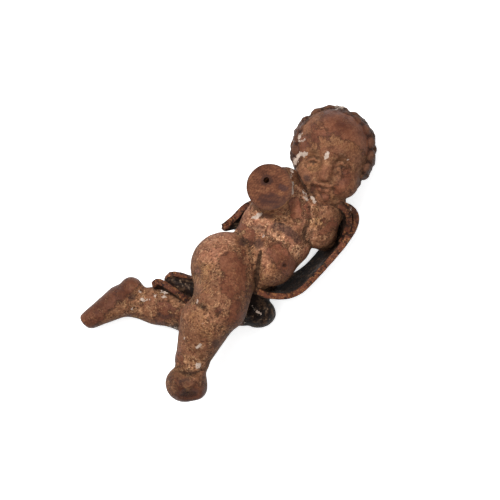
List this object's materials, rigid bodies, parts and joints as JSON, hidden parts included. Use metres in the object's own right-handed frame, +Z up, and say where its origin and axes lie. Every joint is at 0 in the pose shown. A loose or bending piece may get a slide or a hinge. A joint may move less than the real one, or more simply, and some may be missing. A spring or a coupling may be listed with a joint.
{
  "type": "putto sculpture",
  "caption": "Carved wooden putto lying on its back, wound in a flying sash, with a flat joint face at the lost right arm.",
  "frame": {"origin": "on the floor that the figure lies on, under the middle of its bounding box", "axes": "+Z up, out of the figure's front; the crown of the head towards +X +Y, the forward foot towards -X -Y"},
  "size_m": [0.4516, 0.4438, 0.1722],
  "materials": {
    "worn_wood": "worn bole and ochre ground over bare wood"
  },
  "bodies": {
    "root": {"putto": "worn_wood"}
  },
  "joints": []
}
